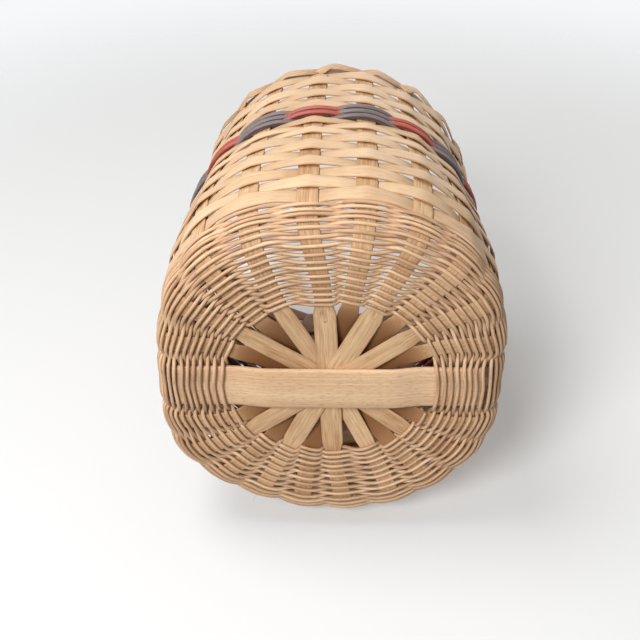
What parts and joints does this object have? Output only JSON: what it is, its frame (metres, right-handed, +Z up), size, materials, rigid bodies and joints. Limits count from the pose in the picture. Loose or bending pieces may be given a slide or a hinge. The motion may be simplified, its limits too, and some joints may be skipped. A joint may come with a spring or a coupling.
{
  "type": "swing handle basket",
  "caption": "Woven basket of flat and round reed on a bent wooden hoop, with a dyed band, a pointed folded border and a wooden handle that swings over the top.",
  "frame": {"origin": "on the ground under the middle of the base, at the hoop's underside", "axes": "+Z up along the basket's height, +X along the wooden hoop and the handle's pins, +Y across them towards the side turned away from the picture"},
  "size_m": [0.2433, 0.2754, 0.4305],
  "materials": {
    "hoop_wood": "smooth bent splint, lightly scorched at the bends",
    "handle_wood": "smooth bent strip, waxed",
    "splint_reed": "natural flat reed, fibrous, matt",
    "flat_reed": "natural flat reed, fibrous, matt",
    "round_reed": "natural round reed, matt",
    "red_reed": "dyed round reed, matt",
    "grey_reed": "dyed round reed, matt",
    "pin_brass": "plain, slightly dull"
  },
  "bodies": {
    "basket": {"frame_hoop": "hoop_wood", "base_splint_01": "splint_reed", "base_splint_02": "splint_reed", "base_splint_03": "splint_reed", "base_splint_04": "splint_reed", "base_splint_05": "splint_reed", "base_splint_06": "splint_reed", "base_splint_07": "splint_reed", "base_splint_08": "splint_reed", "base_splint_09": "splint_reed", "base_splint_10": "splint_reed", "base_weaver_a": "round_reed", "base_weaver_b": "round_reed", "wall_row_01": "flat_reed", "wall_row_02": "flat_reed", "wall_row_03": "flat_reed", "wall_row_04": "flat_reed", "wall_row_05": "flat_reed", "wall_row_06": "flat_reed", "wall_row_07": "flat_reed", "wall_row_08": "flat_reed", "wall_row_09": "flat_reed", "wall_row_10": "flat_reed", "band_row_1_grey": "grey_reed", "band_row_2_red": "red_reed", "band_row_3_grey": "grey_reed", "band_row_4_red": "red_reed", "band_row_5_grey": "grey_reed", "upper_row_01": "flat_reed", "upper_row_02": "flat_reed", "upper_row_03": "flat_reed", "upper_row_04": "flat_reed", "upper_row_05": "flat_reed", "upper_row_06": "flat_reed", "pivot_pin_left": "pin_brass", "pivot_pin_right": "pin_brass", "pin_washer_left": "pin_brass", "pin_washer_right": "pin_brass"},
    "handle": {"swing_handle": "handle_wood"}
  },
  "joints": [
    {"name": "handle_swing", "type": "hinge", "parent": "basket", "child": "handle", "pos_m": [0, 0, 0.278], "axis": [1, 0, 0], "range_deg": [-110, 110]}
  ]
}
